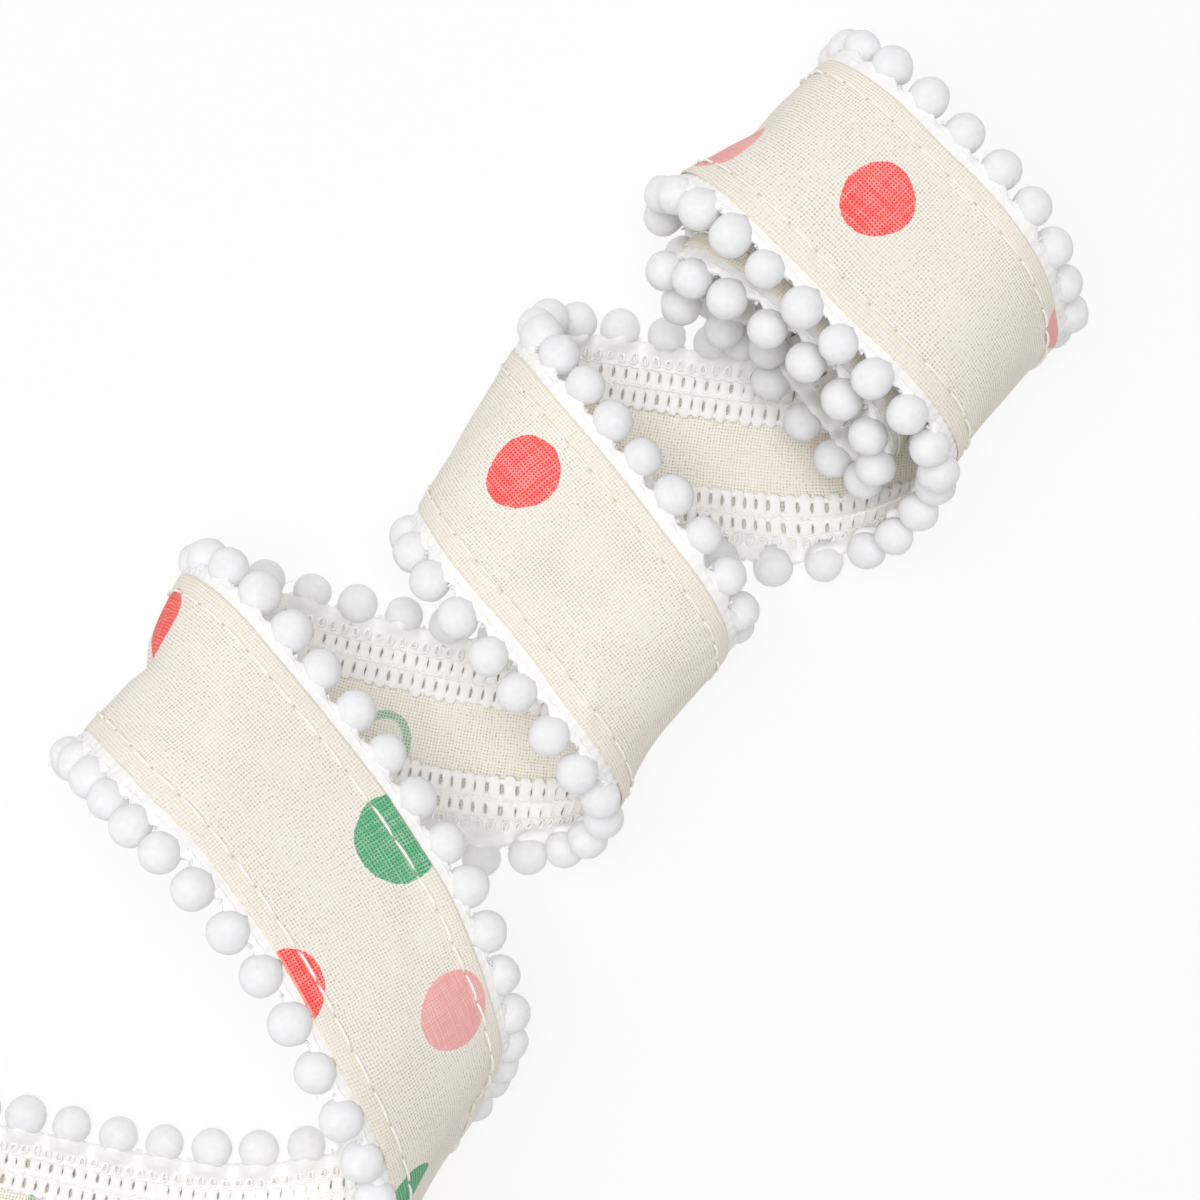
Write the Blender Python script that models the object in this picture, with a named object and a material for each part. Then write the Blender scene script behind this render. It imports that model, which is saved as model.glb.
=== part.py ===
"""Pompom fringe trim: a narrow printed cotton ribbon with a pompom tape sewn along both edges.

The ribbon lies in loose leaning coils on a surface. Its centre line goes from bend to bend: a bend
is the place where the ribbon stands upright at the side of a loop, and a run is the part between
two bends, which either lies low on the surface or crosses over the top of a loop. Straight fold
lines, one at each station of the centre line, carry the cloth and both tapes, so that the ribbon
stays as wide as it was cut. Lengths in the tables are in millimetres, angles in degrees.

Frame: +X along the fold lines of the coils, +Y towards the bends on the left, +Z up.
"""
from collections import namedtuple

import bpy
import numpy as np

COLLECTION = "pompom_fringe_trim"
MM = 0.001

# ---- sizes across the ribbon ----
CLOTH_WIDTH = 23.0
CLOTH_THICK = 1.0
TAPE_GAP = 0.3
TAPE_THICK = 1.0
TAPE_INSIDE = 7.2
TAPE_OUTSIDE = 1.7
POMPOM_PITCH = 6.35
POMPOM_OUTSIDE = 3.65
POMPOM_FIRST = 3.0
POMPOM_REST = 2.65
POMPOM_SIDES = 4

# ---- steps along the ribbon ----
STATION_STEP = 4.0
FINE_STEP = 0.5
RUN_SAMPLES = 400
SOFTEN_LINE = 1.5
SOFTEN_TURN = 4.0
SOFTEN_TILT = 2.5

# Middle of the trim's outline in the tables' own coordinates, moved to the origin.
MIDDLE_X = -26.53
MIDDLE_Y = 8.35

# One row for each bend, in order along the ribbon. side is +1 on the left and -1 on the right;
# x, y and z are the place where the middle of the ribbon stands upright; turn is the heading of
# the fold line there and tilt its slope, with the edge on the low X side raised.
Bend = namedtuple("Bend", "name side x y z turn tilt")
BENDS = (
    Bend("inner_left", +1, 54.5, 12.5, 18.0, -16.0, 8.0),
    Bend("inner_right", -1, 47.0, -22.0, 15.5, -2.0, 12.0),
    Bend("first_left", +1, 62.8, 18.4, 17.0, -18.0, 8.0),
    Bend("first_right", -1, 48.8, -29.7, 15.0, -1.0, 16.0),
    Bend("second_left", +1, 9.4, 26.4, 15.0, 2.0, 6.0),
    Bend("second_right", -1, -9.0, -17.2, 17.0, -1.0, 4.0),
    Bend("third_left", +1, -38.5, 46.5, 22.0, 0.0, 12.0),
    Bend("third_right", -1, -74.0, -23.5, 21.0, -2.0, 24.0),
)

# One row for each run between two bends. level is the height of the middle of the ribbon; in and
# out are the widths of the rounded corners at its two ends; lean_in and lean_out say how far the
# ribbon slides along the fold line while it stands up; foot_in and foot_out turn the fold lines
# where a low run meets the surface.
Run = namedtuple("Run", "name level round_in round_out lean_in lean_out tilt foot_in foot_out")
RUNS = (
    Run("inner_top", 28.0, 13.0, 13.0, 5.0, 20.0, 14.0, 0.0, 0.0),
    Run("inner_low", 5.2, 13.0, 13.0, 8.0, 8.0, 12.0, 0.0, 0.0),
    Run("first_top", 34.0, 15.0, 15.0, 2.0, 22.0, 15.0, 0.0, 0.0),
    Run("first_low", 0.0, 13.0, 13.0, 56.0, -20.0, 0.0, -4.0, 4.0),
    Run("second_top", 31.0, 15.0, 14.0, -6.0, 18.0, 7.0, 0.0, 0.0),
    Run("second_low", 0.0, 13.0, 13.0, 40.0, 4.0, 0.0, -4.0, 4.0),
    Run("third_top", 45.0, 22.0, 20.0, 30.0, 70.0, 28.0, 0.0, 0.0),
)

# The two cut ends: the plan place, the ribbon's heading there and the fold line's turn.
End = namedtuple("End", "name x y level heading pull turn tilt lean round")
INNER_END = End("inner_end", 54.5, -5.0, 13.4, 85.0, 16.0, -8.0, 4.0, 10.0, 13.0)
OUTER_END = End("outer_end", -120.0, 33.5, 0.0, 122.0, 58.0, 25.0, 0.0, 97.0, 13.0)

# Outline of one pompom from its root in the tape to its tip: distance from its middle, radius.
Ring = namedtuple("Ring", "along radius")
POMPOM_RINGS = (
    Ring(-3.1, 0.45),
    Ring(-1.7, 1.9),
    Ring(-0.1, 2.6),
    Ring(1.7, 1.8),
)
POMPOM_TIP = 2.6

# Colour, roughness for each piece.
Finish = namedtuple("Finish", "node colour roughness")
FINISHES = (
    Finish("ribbon_cloth", (0.87, 0.83, 0.70, 1.0), 0.9),
    Finish("pompom_tape_upper", (0.90, 0.90, 0.92, 1.0), 0.95),
    Finish("pompom_tape_lower", (0.88, 0.87, 0.86, 1.0), 0.95),
)


def clear_scene():
    """Remove every object, so that the part starts from nothing."""
    for thing in list(bpy.data.objects):
        bpy.data.objects.remove(thing, do_unlink=True)


def heading_vector(degrees):
    """Unit plan vector with the given heading."""
    angle = np.radians(degrees)
    return np.array([np.cos(angle), np.sin(angle)])


def fold_vector(bend):
    """Direction in which the ribbon slides while it stands up in a bend."""
    return bend.side * heading_vector(bend.turn)


def outward_vector(bend):
    """Plan direction that points out of the coil at a bend."""
    return bend.side * heading_vector(bend.turn + 90.0)


def hermite(start, leave, finish, arrive, share):
    """Smooth plan curve between two places with given end tangents."""
    share = share[:, None]
    squared = share ** 2
    cubed = share ** 3
    return ((2.0 * cubed - 3.0 * squared + 1.0) * start
            + (cubed - 2.0 * squared + share) * leave
            + (3.0 * squared - 2.0 * cubed) * finish
            + (cubed - squared) * arrive)


def corner(distance, width):
    """Quarter-ellipse rise, from 0 at the bend to 1 at the corner's width away from it."""
    rest = np.clip(1.0 - distance / width, 0.0, 1.0)
    return np.sqrt(1.0 - rest ** 2)


def run_points(plan, level, first, last, tilt, turns, feet):
    """Give a run its heights, fold-line turns and tilts.

    first and last are (bend or None, corner width, height at the end, tilt at the end).
    """
    share = np.linspace(0.0, 1.0, len(plan))
    rises = []
    for (bend, width, _, _), place in ((first, plan[0]), (last, plan[-1])):
        if bend is None:
            rises.append(np.ones(len(plan)))
        else:
            inside = np.maximum((place - plan) @ outward_vector(bend), 0.0)
            rises.append(corner(inside, width))
    near_first = share < 0.5
    rise = np.where(near_first, rises[0], rises[1])
    end_height = np.where(near_first, first[2], last[2])
    end_tilt = np.where(near_first, first[3], last[3])
    height = end_height + (level - end_height) * rise
    blend = rise if level < 10.5 else rise ** 4
    slope = end_tilt + (tilt - end_tilt) * blend
    steps = np.linalg.norm(np.diff(plan, axis=0), axis=1)
    gone = np.concatenate([[0.0], np.cumsum(steps)])
    gone = gone / gone[-1]
    eased = gone * gone * (3.0 - 2.0 * gone)
    foot = np.where(near_first, feet[0] * rise * (1.0 - eased), feet[1] * rise * eased)
    turn = turns[0] + (turns[1] - turns[0]) * eased + foot
    return np.column_stack([plan, height, turn, slope])


def centre_table():
    """Rows of x, y, height, turn and tilt along the whole centre line."""
    share = 0.5 - 0.5 * np.cos(np.linspace(0.0, np.pi, RUN_SAMPLES))
    pieces = []

    bend = BENDS[0]
    start = np.array([INNER_END.x, INNER_END.y])
    finish = np.array([bend.x, bend.y])
    plan = hermite(start, heading_vector(INNER_END.heading) * INNER_END.pull,
                   finish, fold_vector(bend) * INNER_END.lean, share)
    pieces.append(run_points(
        plan, INNER_END.level, (None, 1.0, INNER_END.level, INNER_END.tilt),
        (bend, INNER_END.round, bend.z, bend.tilt), INNER_END.tilt,
        (INNER_END.turn, bend.turn), (0.0, 0.0)))

    for run, before, after in zip(RUNS, BENDS[:-1], BENDS[1:]):
        start = np.array([before.x, before.y])
        finish = np.array([after.x, after.y])
        plan = hermite(start, fold_vector(before) * run.lean_in,
                       finish, fold_vector(after) * run.lean_out, share)
        pieces.append(run_points(
            plan, run.level, (before, run.round_in, before.z, before.tilt),
            (after, run.round_out, after.z, after.tilt), run.tilt,
            (before.turn, after.turn), (run.foot_in, run.foot_out)))

    bend = BENDS[-1]
    start = np.array([bend.x, bend.y])
    finish = np.array([OUTER_END.x, OUTER_END.y])
    plan = hermite(start, fold_vector(bend) * OUTER_END.lean,
                   finish, heading_vector(OUTER_END.heading) * OUTER_END.pull, share)
    pieces.append(run_points(
        plan, OUTER_END.level, (bend, OUTER_END.round, bend.z, bend.tilt),
        (None, 1.0, OUTER_END.level, OUTER_END.tilt), OUTER_END.tilt,
        (bend.turn, OUTER_END.turn), (-4.0, 0.0)))
    return np.vstack(pieces)


def spaced(values, step):
    """Rows spaced evenly by length along the first three columns."""
    steps = np.linalg.norm(np.diff(values[:, :3], axis=0), axis=1)
    keep = np.concatenate([[True], steps > 1e-6])
    values = values[keep]
    steps = np.linalg.norm(np.diff(values[:, :3], axis=0), axis=1)
    along = np.concatenate([[0.0], np.cumsum(steps)])
    count = int(round(along[-1] / step))
    wanted = np.linspace(0.0, along[-1], count + 1)
    columns = [np.interp(wanted, along, values[:, k]) for k in range(values.shape[1])]
    return wanted, np.column_stack(columns)


def softened(column, reach):
    """Running average of one column with a bell-shaped weight, the ends kept."""
    half = int(round(3.0 * reach / FINE_STEP))
    offsets = np.arange(-half, half + 1) * FINE_STEP
    weight = np.exp(-0.5 * (offsets / reach) ** 2)
    weight = weight / weight.sum()
    before = 2.0 * column[0] - column[half:0:-1]
    after = 2.0 * column[-1] - column[-2:-half - 2:-1]
    return np.convolve(np.concatenate([before, column, after]), weight, "valid")


class Ribbon:
    """The ribbon's fold lines: middle points, directions, inward normals and half lengths."""

    def __init__(self):
        self.along, table = spaced(centre_table(), FINE_STEP)
        middle = np.column_stack([softened(table[:, k], SOFTEN_LINE) for k in range(3)])
        middle[:, 2] = np.maximum(middle[:, 2], 0.0) + 0.5 * CLOTH_THICK
        middle[:, 0] -= MIDDLE_X
        middle[:, 1] -= MIDDLE_Y
        turn = np.radians(softened(table[:, 3], SOFTEN_TURN))
        tilt = np.radians(softened(table[:, 4], SOFTEN_TILT))
        self.middle = middle
        self.fold = np.column_stack([np.cos(tilt) * np.cos(turn),
                                     np.cos(tilt) * np.sin(turn), -np.sin(tilt)])
        tangent = np.gradient(middle, self.along, axis=0)
        tangent = tangent / np.linalg.norm(tangent, axis=1)[:, None]
        inward = np.cross(self.fold, tangent)
        self.sine = np.linalg.norm(inward, axis=1)
        self.inward = inward / self.sine[:, None]

    def line(self, side, outside, inward):
        """Line beside one edge: outside is measured from the cloth's edge, inward from its middle."""
        reach = (0.5 * CLOTH_WIDTH + outside) / self.sine
        return self.middle + self.fold * (side * reach)[:, None] + self.inward * inward

    def stations(self):
        """Index of each station at which the solids have a cross-section."""
        count = int(round(self.along[-1] / STATION_STEP))
        wanted = np.linspace(0.0, self.along[-1], count + 1)
        return np.searchsorted(self.along, wanted - 1e-6)


def new_object(name, vertices, faces):
    """Mesh object made from points in millimetres."""
    mesh = bpy.data.meshes.new(name)
    mesh.from_pydata([tuple(point) for point in np.asarray(vertices) * MM], [], faces)
    mesh.update()
    thing = bpy.data.objects.new(name, mesh)
    bpy.data.collections[COLLECTION].objects.link(thing)
    return thing


def lofted_bar(name, rails):
    """Closed bar with one corner on each rail."""
    sides = len(rails)
    rows = len(rails[0])
    vertices = np.stack(rails, axis=1).reshape(-1, 3)
    faces = [tuple(range(sides))[::-1]]
    for row in range(rows - 1):
        for side in range(sides):
            after = (side + 1) % sides
            faces.append((row * sides + side, row * sides + after,
                          (row + 1) * sides + after, (row + 1) * sides + side))
    faces.append(tuple((rows - 1) * sides + side for side in range(sides)))
    return new_object(name, vertices, faces)


def flat_bar(name, ribbon, side_a, outside_a, side_b, outside_b, inward_a, inward_b):
    """Bar between two lines beside the edges and two depths, a at the low edge, b at the high."""
    picks = ribbon.stations()
    rails = [
        ribbon.line(side_a, outside_a, inward_a)[picks],
        ribbon.line(side_b, outside_b, inward_a)[picks],
        ribbon.line(side_b, outside_b, inward_b)[picks],
        ribbon.line(side_a, outside_a, inward_b)[picks],
    ]
    return lofted_bar(name, rails)


def pompom_places(ribbon, side):
    """Middle, root and inward direction of each pompom along one edge."""
    depth = 0.5 * CLOTH_THICK + TAPE_GAP + 0.5 * TAPE_THICK
    rail = ribbon.line(side, POMPOM_OUTSIDE, depth)
    steps = np.linalg.norm(np.diff(rail, axis=0), axis=1)
    along = np.concatenate([[0.0], np.cumsum(steps)])
    count = int((along[-1] - 2.0 * POMPOM_FIRST) / POMPOM_PITCH)
    wanted = POMPOM_FIRST + POMPOM_PITCH * np.arange(count + 1)

    def at_places(values):
        columns = [np.interp(wanted, along, values[:, k]) for k in range(3)]
        return np.column_stack(columns)

    tangent = np.gradient(rail, axis=0)
    across = np.cross(ribbon.inward, tangent)
    across = across * np.sign(np.sum(across * ribbon.fold, axis=1) * side)[:, None]
    middle = at_places(rail)
    inward = at_places(ribbon.inward)
    across = at_places(across)
    across = across / np.linalg.norm(across, axis=1)[:, None]
    root = middle + across * POMPOM_RINGS[0].along
    middle[:, 2] = np.maximum(middle[:, 2], POMPOM_REST)
    return middle, root, inward


def pompom_mesh(ribbon, side):
    """Points and faces of all the pompoms on one edge."""
    vertices = []
    faces = []
    side_angle = 2.0 * np.pi / POMPOM_SIDES
    angles = [(np.arange(POMPOM_SIDES) + 0.5 * (ring % 2)) * side_angle
              for ring in range(len(POMPOM_RINGS))]
    for middle, root, inward in zip(*pompom_places(ribbon, side)):
        axis = middle - root
        axis = axis / np.linalg.norm(axis)
        sideways = np.cross(axis, inward)
        sideways = sideways / np.linalg.norm(sideways)
        upward = np.cross(sideways, axis)
        base = len(vertices)
        for ring, angle in zip(POMPOM_RINGS, angles):
            circle = np.outer(np.cos(angle), upward) + np.outer(np.sin(angle), sideways)
            vertices.extend(middle + axis * ring.along + circle * ring.radius)
        vertices.append(middle + axis * POMPOM_TIP)
        tip = base + len(POMPOM_RINGS) * POMPOM_SIDES
        faces.append(tuple(base + k for k in range(POMPOM_SIDES))[::-1])
        for level in range(len(POMPOM_RINGS) - 1):
            low = base + level * POMPOM_SIDES
            high = low + POMPOM_SIDES
            shift = level % 2
            for k in range(POMPOM_SIDES):
                after = (k + 1) % POMPOM_SIDES
                above = (k + shift) % POMPOM_SIDES
                faces.append((low + k, low + after, high + above))
                beyond = (above + 1) % POMPOM_SIDES
                faces.append((low + after, high + beyond, high + above))
        top = base + (len(POMPOM_RINGS) - 1) * POMPOM_SIDES
        for k in range(POMPOM_SIDES):
            faces.append((top + k, top + (k + 1) % POMPOM_SIDES, tip))
    return vertices, faces


def make_outward(thing):
    """Turn every face of a closed mesh outward."""
    bpy.context.view_layer.objects.active = thing
    thing.select_set(True)
    bpy.ops.object.mode_set(mode="EDIT")
    bpy.ops.mesh.select_all(action="SELECT")
    bpy.ops.mesh.normals_make_consistent(inside=False)
    bpy.ops.object.mode_set(mode="OBJECT")
    thing.select_set(False)


def fuse(target, tool):
    """Union of two closed meshes, kept in the first."""
    union = target.modifiers.new("union", "BOOLEAN")
    union.operation = "UNION"
    union.solver = "EXACT"
    union.object = tool
    bpy.context.view_layer.objects.active = target
    target.select_set(True)
    bpy.ops.object.modifier_apply(modifier=union.name)
    target.select_set(False)
    bpy.data.objects.remove(tool, do_unlink=True)


def build_cloth(ribbon):
    """The ribbon itself, one sheet in all its bends."""
    half = 0.5 * CLOTH_THICK
    cloth = flat_bar("ribbon_cloth", ribbon, -1, 0.0, +1, 0.0, -half, half)
    make_outward(cloth)
    return cloth


def build_tape(name, ribbon, side):
    """One tape along an edge, on the inner face, with its pompoms fused on by their roots."""
    near = 0.5 * CLOTH_THICK + TAPE_GAP
    far = near + TAPE_THICK
    tape = flat_bar(name, ribbon, side, -TAPE_INSIDE, side, TAPE_OUTSIDE, near, far)
    make_outward(tape)
    vertices, faces = pompom_mesh(ribbon, side)
    pompoms = new_object(name + "_pompoms", vertices, faces)
    make_outward(pompoms)
    fuse(tape, pompoms)
    return tape


def paint(finish):
    """Give one piece its own plain material."""
    material = bpy.data.materials.new(finish.node + "_finish")
    material.use_nodes = True
    shader = material.node_tree.nodes["Principled BSDF"]
    shader.inputs["Base Color"].default_value = finish.colour
    shader.inputs["Roughness"].default_value = finish.roughness
    shader.inputs["Metallic"].default_value = 0.0
    thing = bpy.data.objects[finish.node]
    thing.data.materials.clear()
    thing.data.materials.append(material)


def main():
    """Build the cloth and both pompom tapes."""
    clear_scene()
    collection = bpy.data.collections.new(COLLECTION)
    bpy.context.scene.collection.children.link(collection)
    ribbon = Ribbon()
    build_cloth(ribbon)
    build_tape("pompom_tape_upper", ribbon, +1)
    build_tape("pompom_tape_lower", ribbon, -1)
    for finish in FINISHES:
        paint(finish)


main()
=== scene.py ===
"""Pompom fringe trim: a narrow printed cotton ribbon with a pompom tape sewn along both edges.

The ribbon lies in loose leaning coils. Everything is laid out flat first, in ribbon coordinates in
millimetres: u runs along the ribbon, v across it and w through it, towards the inner face that the
tapes are sewn to. RibbonPath then carries each place to the coils.
"""
import logging
from dataclasses import dataclass, field
from enum import Enum
from typing import Optional, Sequence

import bpy
import numpy as np
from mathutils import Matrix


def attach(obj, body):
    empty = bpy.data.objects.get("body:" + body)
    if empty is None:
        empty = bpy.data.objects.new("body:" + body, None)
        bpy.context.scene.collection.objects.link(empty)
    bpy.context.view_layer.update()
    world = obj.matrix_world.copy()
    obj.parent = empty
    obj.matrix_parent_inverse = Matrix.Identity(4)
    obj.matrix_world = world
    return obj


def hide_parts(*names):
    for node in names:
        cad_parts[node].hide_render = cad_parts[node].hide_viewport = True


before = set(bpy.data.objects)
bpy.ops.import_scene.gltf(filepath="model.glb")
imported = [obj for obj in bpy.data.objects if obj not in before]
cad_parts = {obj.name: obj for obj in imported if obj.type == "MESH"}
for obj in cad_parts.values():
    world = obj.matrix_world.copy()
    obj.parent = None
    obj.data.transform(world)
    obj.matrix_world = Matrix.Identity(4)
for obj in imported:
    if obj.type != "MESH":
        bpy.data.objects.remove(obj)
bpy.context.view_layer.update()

MM = 0.001
TURN = 2.0 * np.pi
TUBE_TIP = 0.4  # how far the point that closes a tube lies past its end, for a width of one
log = logging.getLogger("pompom_trim")
Array = np.ndarray


# ---------------------------------------------------------------------------------------------
# The path of the ribbon
# ---------------------------------------------------------------------------------------------
@dataclass(frozen=True)
class Joint:
    """A place between runs: the middle of the ribbon, and its fold line's heading and slope.

    turn and tilt are in degrees.
    """

    x: float
    y: float
    z: float
    turn: float
    tilt: float

    def place(self) -> Array:
        """Its place in plan."""
        return np.array([self.x, self.y])


@dataclass(frozen=True)
class Bend(Joint):
    """A joint where the ribbon stands upright, on the left (+1) or right (-1) of a coil."""

    side: int

    def along(self) -> Array:
        """Plan direction in which the ribbon slides while it stands up."""
        return self.side * heading(self.turn)

    def rise(self, plan: Array, width: float) -> Array:
        """Quarter-ellipse rise from 0 at the bend to 1 at the corner's width away from it."""
        outward = self.side * heading(self.turn + 90.0)
        rest = np.clip(1.0 - ((self.place() - plan) @ outward) / width, 0.0, 1.0)
        return np.sqrt(1.0 - rest ** 2)


@dataclass(frozen=True)
class CutEnd(Joint):
    """A joint at a cut end, where the ribbon has the given heading."""

    way: float

    def along(self) -> Array:
        """Plan direction of the ribbon."""
        return heading(self.way)

    def rise(self, plan: Array, width: float) -> Array:
        """1 all along, because the run keeps its level up to a cut end."""
        return np.ones(len(plan))


@dataclass(frozen=True)
class Run:
    """The ribbon between two joints: its level, rounded corners, lean, tilt and turned feet."""

    level: float
    round_in: float
    round_out: float
    lean_in: float
    lean_out: float
    tilt: float
    foot_in: float = 0.0
    foot_out: float = 0.0


JOINTS = (
    CutEnd(54.5, -5.0, 13.4, -8.0, 4.0, 85.0),
    Bend(54.5, 12.5, 18.0, -16.0, 8.0, +1),
    Bend(47.0, -22.0, 15.5, -2.0, 12.0, -1),
    Bend(62.8, 18.4, 17.0, -18.0, 8.0, +1),
    Bend(48.8, -29.7, 15.0, -1.0, 16.0, -1),
    Bend(9.4, 26.4, 15.0, 2.0, 6.0, +1),
    Bend(-9.0, -17.2, 17.0, -1.0, 4.0, -1),
    Bend(-38.5, 46.5, 22.0, 0.0, 12.0, +1),
    Bend(-74.0, -23.5, 21.0, -2.0, 24.0, -1),
    CutEnd(-120.0, 33.5, 0.0, 25.0, 0.0, 122.0),
)
RUNS = (
    Run(13.4, 1.0, 13.0, 16.0, 10.0, 4.0),
    Run(28.0, 13.0, 13.0, 5.0, 20.0, 14.0),
    Run(5.2, 13.0, 13.0, 8.0, 8.0, 12.0),
    Run(34.0, 15.0, 15.0, 2.0, 22.0, 15.0),
    Run(0.0, 13.0, 13.0, 56.0, -20.0, 0.0, -4.0, 4.0),
    Run(31.0, 15.0, 14.0, -6.0, 18.0, 7.0),
    Run(0.0, 13.0, 13.0, 40.0, 4.0, 0.0, -4.0, 4.0),
    Run(45.0, 22.0, 20.0, 30.0, 70.0, 28.0),
    Run(0.0, 13.0, 1.0, 97.0, 58.0, 0.0, -4.0),
)


def heading(degrees: float) -> Array:
    """Unit plan vector with the given heading."""
    angle = np.radians(degrees)
    return np.array([np.cos(angle), np.sin(angle)])


def unit(vectors: Array) -> Array:
    """Vectors scaled to length one."""
    return vectors / np.linalg.norm(vectors, axis=-1, keepdims=True)


def hermite(start: Array, leave: Array, finish: Array, arrive: Array, share: Array) -> Array:
    """Cubic plan curve between two places with given end tangents."""
    share = share[:, None]
    squared = share ** 2
    cubed = share ** 3
    return ((2.0 * cubed - 3.0 * squared + 1.0) * start + (cubed - 2.0 * squared + share) * leave
            + (3.0 * squared - 2.0 * cubed) * finish + (cubed - squared) * arrive)


def travelled(points: Array) -> Array:
    """Length along a line of points up to each of them."""
    return np.concatenate([[0.0], np.cumsum(np.linalg.norm(np.diff(points, axis=0), axis=1))])


def eased(share: Array) -> Array:
    """Share from 0 to 1 with a soft start and end."""
    return share * share * (3.0 - 2.0 * share)


@dataclass
class RibbonPath:
    """Carries ribbon coordinates to the coils, by straight fold lines along a centre line."""

    cloth_width: float = 23.0
    base_height: float = 0.5
    middle_x: float = -26.53
    middle_y: float = 8.35
    step: float = 0.5
    soften: tuple[float, float, float] = (1.5, 4.0, 2.5)
    reach: float = 20.0
    pompom_lift: float = 1.4
    spread_at: float = 157.0
    spread_reach: float = 22.0
    spread: float = 2.0
    spread_inside: float = 2.0
    spread_width: float = 9.5
    lift_inside: float = 5.0
    lift_width: float = 9.0
    low_height: float = 2.5
    floor_gap: float = 0.02
    high_run: float = 10.5
    rows_each: int = 400
    creases: Sequence["Crease"] = ()
    along: Array = field(init=False)
    lines: Array = field(init=False)
    lookup: Array = field(init=False)

    def __post_init__(self) -> None:
        """Work out the fold lines and the table that turns (u, v) into a place along the line."""
        runs = [self._run(*parts) for parts in zip(JOINTS[:-1], JOINTS[1:], RUNS)]
        self.along, table = self._spaced(np.vstack(runs))
        middle = np.column_stack([self._softened(table[:, k], self.soften[0]) for k in range(3)])
        middle[:, 2] = np.maximum(middle[:, 2], 0.0) + self.base_height
        middle[:, 0] -= self.middle_x
        middle[:, 1] -= self.middle_y
        turn = np.radians(self._softened(table[:, 3], self.soften[1]))
        tilt = np.radians(self._softened(table[:, 4], self.soften[2]))
        fold = np.column_stack([np.cos(tilt) * np.cos(turn), np.cos(tilt) * np.sin(turn),
                                -np.sin(tilt)])
        tangent = unit(np.gradient(middle, self.along, axis=0))
        inward = np.cross(fold, tangent)
        sine = np.linalg.norm(inward, axis=1)
        slope = np.sum(tangent * fold, axis=1) / sine
        self.lines = np.column_stack([middle, fold / sine[:, None], inward / sine[:, None], slope])
        grid = np.arange(-self.reach, self.reach + 0.5)
        wanted = np.arange(0.0, self.length + self.step, self.step)
        self.lookup = np.stack([np.interp(wanted, self.along + v * slope, self.along)
                                for v in grid])

    @property
    def length(self) -> float:
        """Length of the centre line."""
        return float(self.along[-1])

    @property
    def half(self) -> float:
        """Half the cloth's width."""
        return 0.5 * self.cloth_width

    def _run(self, before: Joint, after: Joint, run: Run) -> Array:
        """Rows of x, y, z, turn and tilt from one joint to the next."""
        share = 0.5 - 0.5 * np.cos(np.linspace(0.0, np.pi, self.rows_each))
        plan = hermite(before.place(), before.along() * run.lean_in,
                       after.place(), after.along() * run.lean_out, share)
        near = share < 0.5
        rise = np.where(near, before.rise(plan, run.round_in), after.rise(plan, run.round_out))
        height = np.where(near, before.z, after.z)
        height = height + (run.level - height) * rise
        slope = np.where(near, before.tilt, after.tilt)
        slope = slope + (run.tilt - slope) * (rise if run.level < self.high_run else rise ** 4)
        gone = travelled(plan)
        part = eased(gone / gone[-1])
        foot = np.where(near, run.foot_in * rise * (1.0 - part), run.foot_out * rise * part)
        turn = before.turn + (after.turn - before.turn) * part + foot
        return np.column_stack([plan, height, turn, slope])

    def _spaced(self, rows: Array) -> tuple[Array, Array]:
        """Rows spaced evenly by length, and the lengths."""
        rows = rows[np.diff(travelled(rows[:, :3]), prepend=-1.0) > 1e-6]
        along = travelled(rows[:, :3])
        wanted = np.linspace(0.0, along[-1], int(round(along[-1] / self.step)) + 1)
        columns = [np.interp(wanted, along, rows[:, k]) for k in range(rows.shape[1])]
        return wanted, np.column_stack(columns)

    def _softened(self, column: Array, reach: float) -> Array:
        """Running average with a bell-shaped weight, the ends kept."""
        half = int(round(3.0 * reach / self.step))
        weight = np.exp(-0.5 * (np.arange(-half, half + 1) * self.step / reach) ** 2)
        before = 2.0 * column[0] - column[half:0:-1]
        after = 2.0 * column[-1] - column[-2:-half - 2:-1]
        return np.convolve(np.concatenate([before, column, after]), weight / weight.sum(), "valid")

    def _at(self, s: Array) -> Array:
        """Fold lines at any places along the centre line, by linear blending."""
        index = np.clip(s / self.along[1], 0.0, len(self.along) - 1.001)
        low = index.astype(int)
        part = (index - low)[..., None]
        return self.lines[low] * (1.0 - part) + self.lines[low + 1] * part

    def slope(self, s: Array) -> Array:
        """How far u runs ahead along the fold lines at s, for each millimetre across."""
        return self._at(s)[..., 9]

    def station(self, u: Array, v: Array) -> Array:
        """Place along the centre line of the fold line through (u, v)."""
        row = np.clip(v + self.reach, 0.0, 2.0 * self.reach - 0.001)
        column = np.clip(u / self.step, 0.0, self.lookup.shape[1] - 1.001)
        r, c = row.astype(int), column.astype(int)
        a, b = row - r, column - c
        return ((self.lookup[r, c] * (1 - b) + self.lookup[r, c + 1] * b) * (1 - a)
                + (self.lookup[r + 1, c] * (1 - b) + self.lookup[r + 1, c + 1] * b) * a)

    def relief(self, u: Array, v: Array) -> Array:
        """How far soft creases press the ribbon inward at (u, v)."""
        depth = np.zeros(np.broadcast(u, v).shape)
        for crease in self.creases:
            depth = depth + crease.depth_at(u, v)
        return depth

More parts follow.
